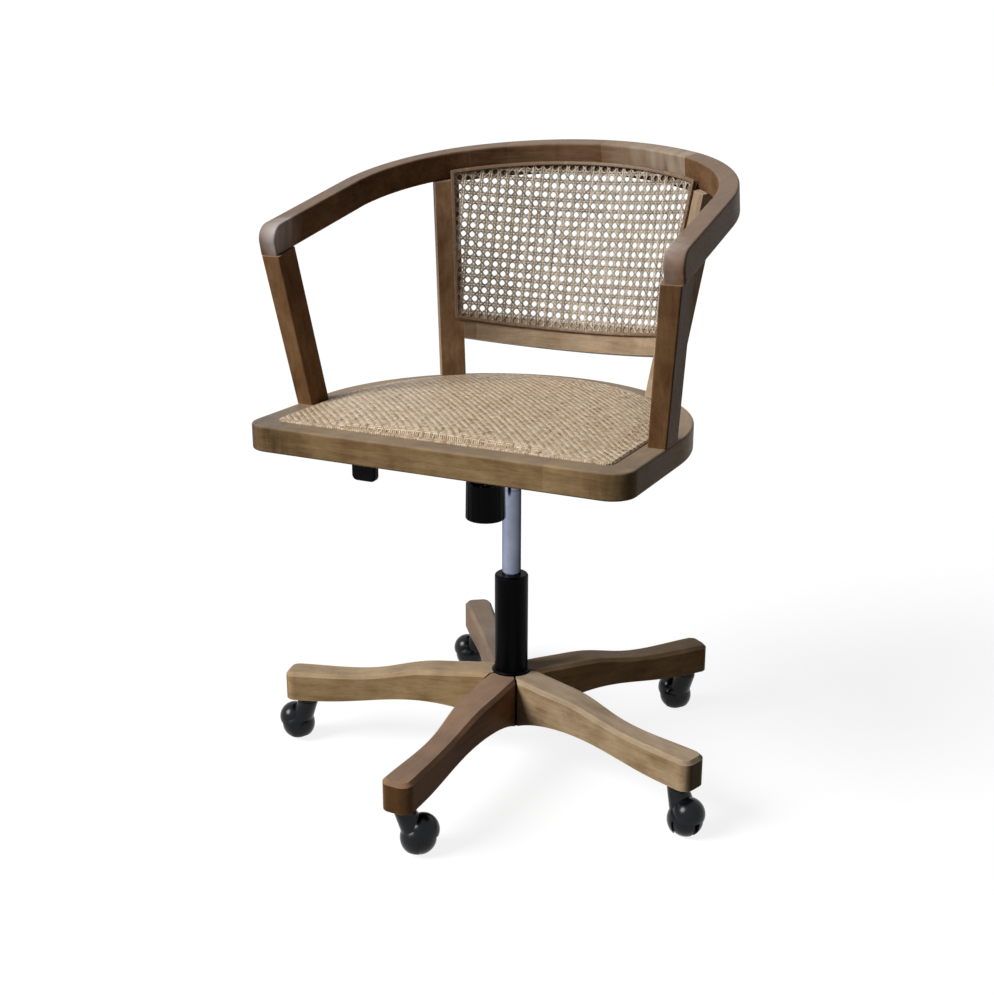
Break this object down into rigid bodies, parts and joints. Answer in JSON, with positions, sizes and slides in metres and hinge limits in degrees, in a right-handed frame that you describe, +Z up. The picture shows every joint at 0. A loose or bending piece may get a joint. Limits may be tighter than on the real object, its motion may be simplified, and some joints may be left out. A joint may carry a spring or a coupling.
{
  "type": "swivel office armchair",
  "caption": "Height-adjustable swivel armchair with a bent wooden arm rail, cane back, woven seat pad, tilt mechanism and a star base on ball casters.",
  "frame": {"origin": "on the floor, under the column's axis", "axes": "+Z up along the column, the chair faces -Y, +X to its right when seen from the front"},
  "size_m": [0.702, 0.644, 0.9078],
  "materials": {
    "stained_wood": "semi-matte stain",
    "plywood": "raw",
    "rattan_weave": "woven",
    "cane": "natural",
    "black_paint": "satin",
    "black_plastic": "satin",
    "caster_black": "glossy gunmetal black",
    "chrome": "polished",
    "bare_steel": "zinc plated"
  },
  "bodies": {
    "base": {"hub_socket": "bare_steel", "leg_1": "stained_wood", "leg_2": "stained_wood", "leg_3": "stained_wood", "leg_4": "stained_wood", "leg_5": "stained_wood", "leg_screws": "bare_steel", "caster_sockets": "bare_steel", "base_ring": "black_paint", "column_tube": "black_paint", "guide_bush": "black_plastic", "thrust_bearing": "bare_steel"},
    "gas_rod": {"piston_rod": "bare_steel", "piston": "bare_steel", "retaining_clip": "bare_steel"},
    "support": {"pressure_tube": "chrome", "rod_gland": "black_plastic", "tilt_housing": "black_paint", "pivot_pin": "bare_steel"},
    "seat": {"seat_plate": "black_paint", "plate_screws": "bare_steel", "seat_board": "plywood", "seat_pad": "rattan_weave", "seat_frame": "stained_wood", "front_post_left": "stained_wood", "front_post_right": "stained_wood", "rear_post_left": "stained_wood", "rear_post_right": "stained_wood", "arm_left": "stained_wood", "arm_right": "stained_wood", "crest_rail": "stained_wood", "lower_rail": "stained_wood", "cane_panel": "cane", "cane_bead": "cane", "tension_bolt": "bare_steel", "tension_spring": "bare_steel"},
    "knob": {"tension_knob": "black_plastic"},
    "lever": {"lever_arm": "black_paint", "lever_paddle": "black_plastic"},
    "button": {"release_button": "bare_steel"},
    "caster_1": {"caster_stem_1": "bare_steel", "caster_hood_1": "caster_black"},
    "wheel_pair_1": {"wheel_axle_1": "bare_steel", "wheels_1": "caster_black"},
    "caster_2": {"caster_stem_2": "bare_steel", "caster_hood_2": "caster_black"},
    "wheel_pair_2": {"wheel_axle_2": "bare_steel", "wheels_2": "caster_black"},
    "caster_3": {"caster_stem_3": "bare_steel", "caster_hood_3": "caster_black"},
    "wheel_pair_3": {"wheel_axle_3": "bare_steel", "wheels_3": "caster_black"},
    "caster_4": {"caster_stem_4": "bare_steel", "caster_hood_4": "caster_black"},
    "wheel_pair_4": {"wheel_axle_4": "bare_steel", "wheels_4": "caster_black"},
    "caster_5": {"caster_stem_5": "bare_steel", "caster_hood_5": "caster_black"},
    "wheel_pair_5": {"wheel_axle_5": "bare_steel", "wheels_5": "caster_black"}
  },
  "joints": [
    {"name": "seat_swivel", "type": "hinge", "parent": "base", "child": "gas_rod", "pos_m": [0, 0, 0.072], "axis": [0, 0, 1], "continuous": true},
    {"name": "height_slide", "type": "slide", "parent": "gas_rod", "child": "support", "axis": [0, 0, 1], "range_m": [-0.11, 0]},
    {"name": "seat_tilt", "type": "hinge", "parent": "support", "child": "seat", "pos_m": [0, -0.036, 0.505], "axis": [-1, 0, 0], "range_deg": [0, 12], "stiffness_Nm_per_rad": 60, "springref_deg": -17.19, "deforming": ["tension_spring"]},
    {"name": "knob_turn", "type": "hinge", "parent": "seat", "child": "knob", "pos_m": [0, -0.084, 0.43], "axis": [0, 0, 1], "range_deg": [-1080, 1080]},
    {"name": "height_lever", "type": "hinge", "parent": "support", "child": "lever", "pos_m": [-0.036, 0, 0.505], "axis": [0, 1, 0], "range_deg": [0, 5], "stiffness_Nm_per_rad": 4, "springref_deg": -5.73},
    {"name": "button_press", "type": "slide", "parent": "support", "child": "button", "axis": [0, 0, -1], "range_m": [0, 0.0045], "stiffness_N_per_m": 800},
    {"name": "caster_swivel_1", "type": "hinge", "parent": "base", "child": "caster_1", "pos_m": [0, -0.322, 0.09], "axis": [0, 0, 1], "continuous": true},
    {"name": "wheel_spin_1", "type": "hinge", "parent": "caster_1", "child": "wheel_pair_1", "pos_m": [0.01648, -0.3136, 0.02366], "axis": [-0.454, 0.891, 0], "continuous": true},
    {"name": "caster_swivel_2", "type": "hinge", "parent": "base", "child": "caster_2", "pos_m": [0.30624, -0.0995, 0.09], "axis": [0, 0, 1], "continuous": true},
    {"name": "wheel_spin_2", "type": "hinge", "parent": "caster_2", "child": "wheel_pair_2", "pos_m": [0.32226, -0.10875, 0.02366], "axis": [0.5, 0.866, 0], "continuous": true},
    {"name": "caster_swivel_3", "type": "hinge", "parent": "base", "child": "caster_3", "pos_m": [0.18927, 0.2605, 0.09], "axis": [0, 0, 1], "continuous": true},
    {"name": "wheel_spin_3", "type": "hinge", "parent": "caster_3", "child": "wheel_pair_3", "pos_m": [0.17124, 0.26467, 0.02366], "axis": [-0.225, -0.9744, 0], "continuous": true},
    {"name": "caster_swivel_4", "type": "hinge", "parent": "base", "child": "caster_4", "pos_m": [-0.18927, 0.2605, 0.09], "axis": [0, 0, 1], "continuous": true},
    {"name": "wheel_spin_4", "type": "hinge", "parent": "caster_4", "child": "wheel_pair_4", "pos_m": [-0.2077, 0.25889, 0.02366], "axis": [0.0872, -0.9962, 0], "continuous": true},
    {"name": "caster_swivel_5", "type": "hinge", "parent": "base", "child": "caster_5", "pos_m": [-0.30624, -0.0995, 0.09], "axis": [0, 0, 1], "continuous": true},
    {"name": "wheel_spin_5", "type": "hinge", "parent": "caster_5", "child": "wheel_pair_5", "pos_m": [-0.32446, -0.10272, 0.02366], "axis": [0.1736, -0.9848, 0], "continuous": true}
  ],
  "couplings": [
    {"joint": "button_press", "follows": "height_lever", "m_per_rad": 0.04}
  ]
}
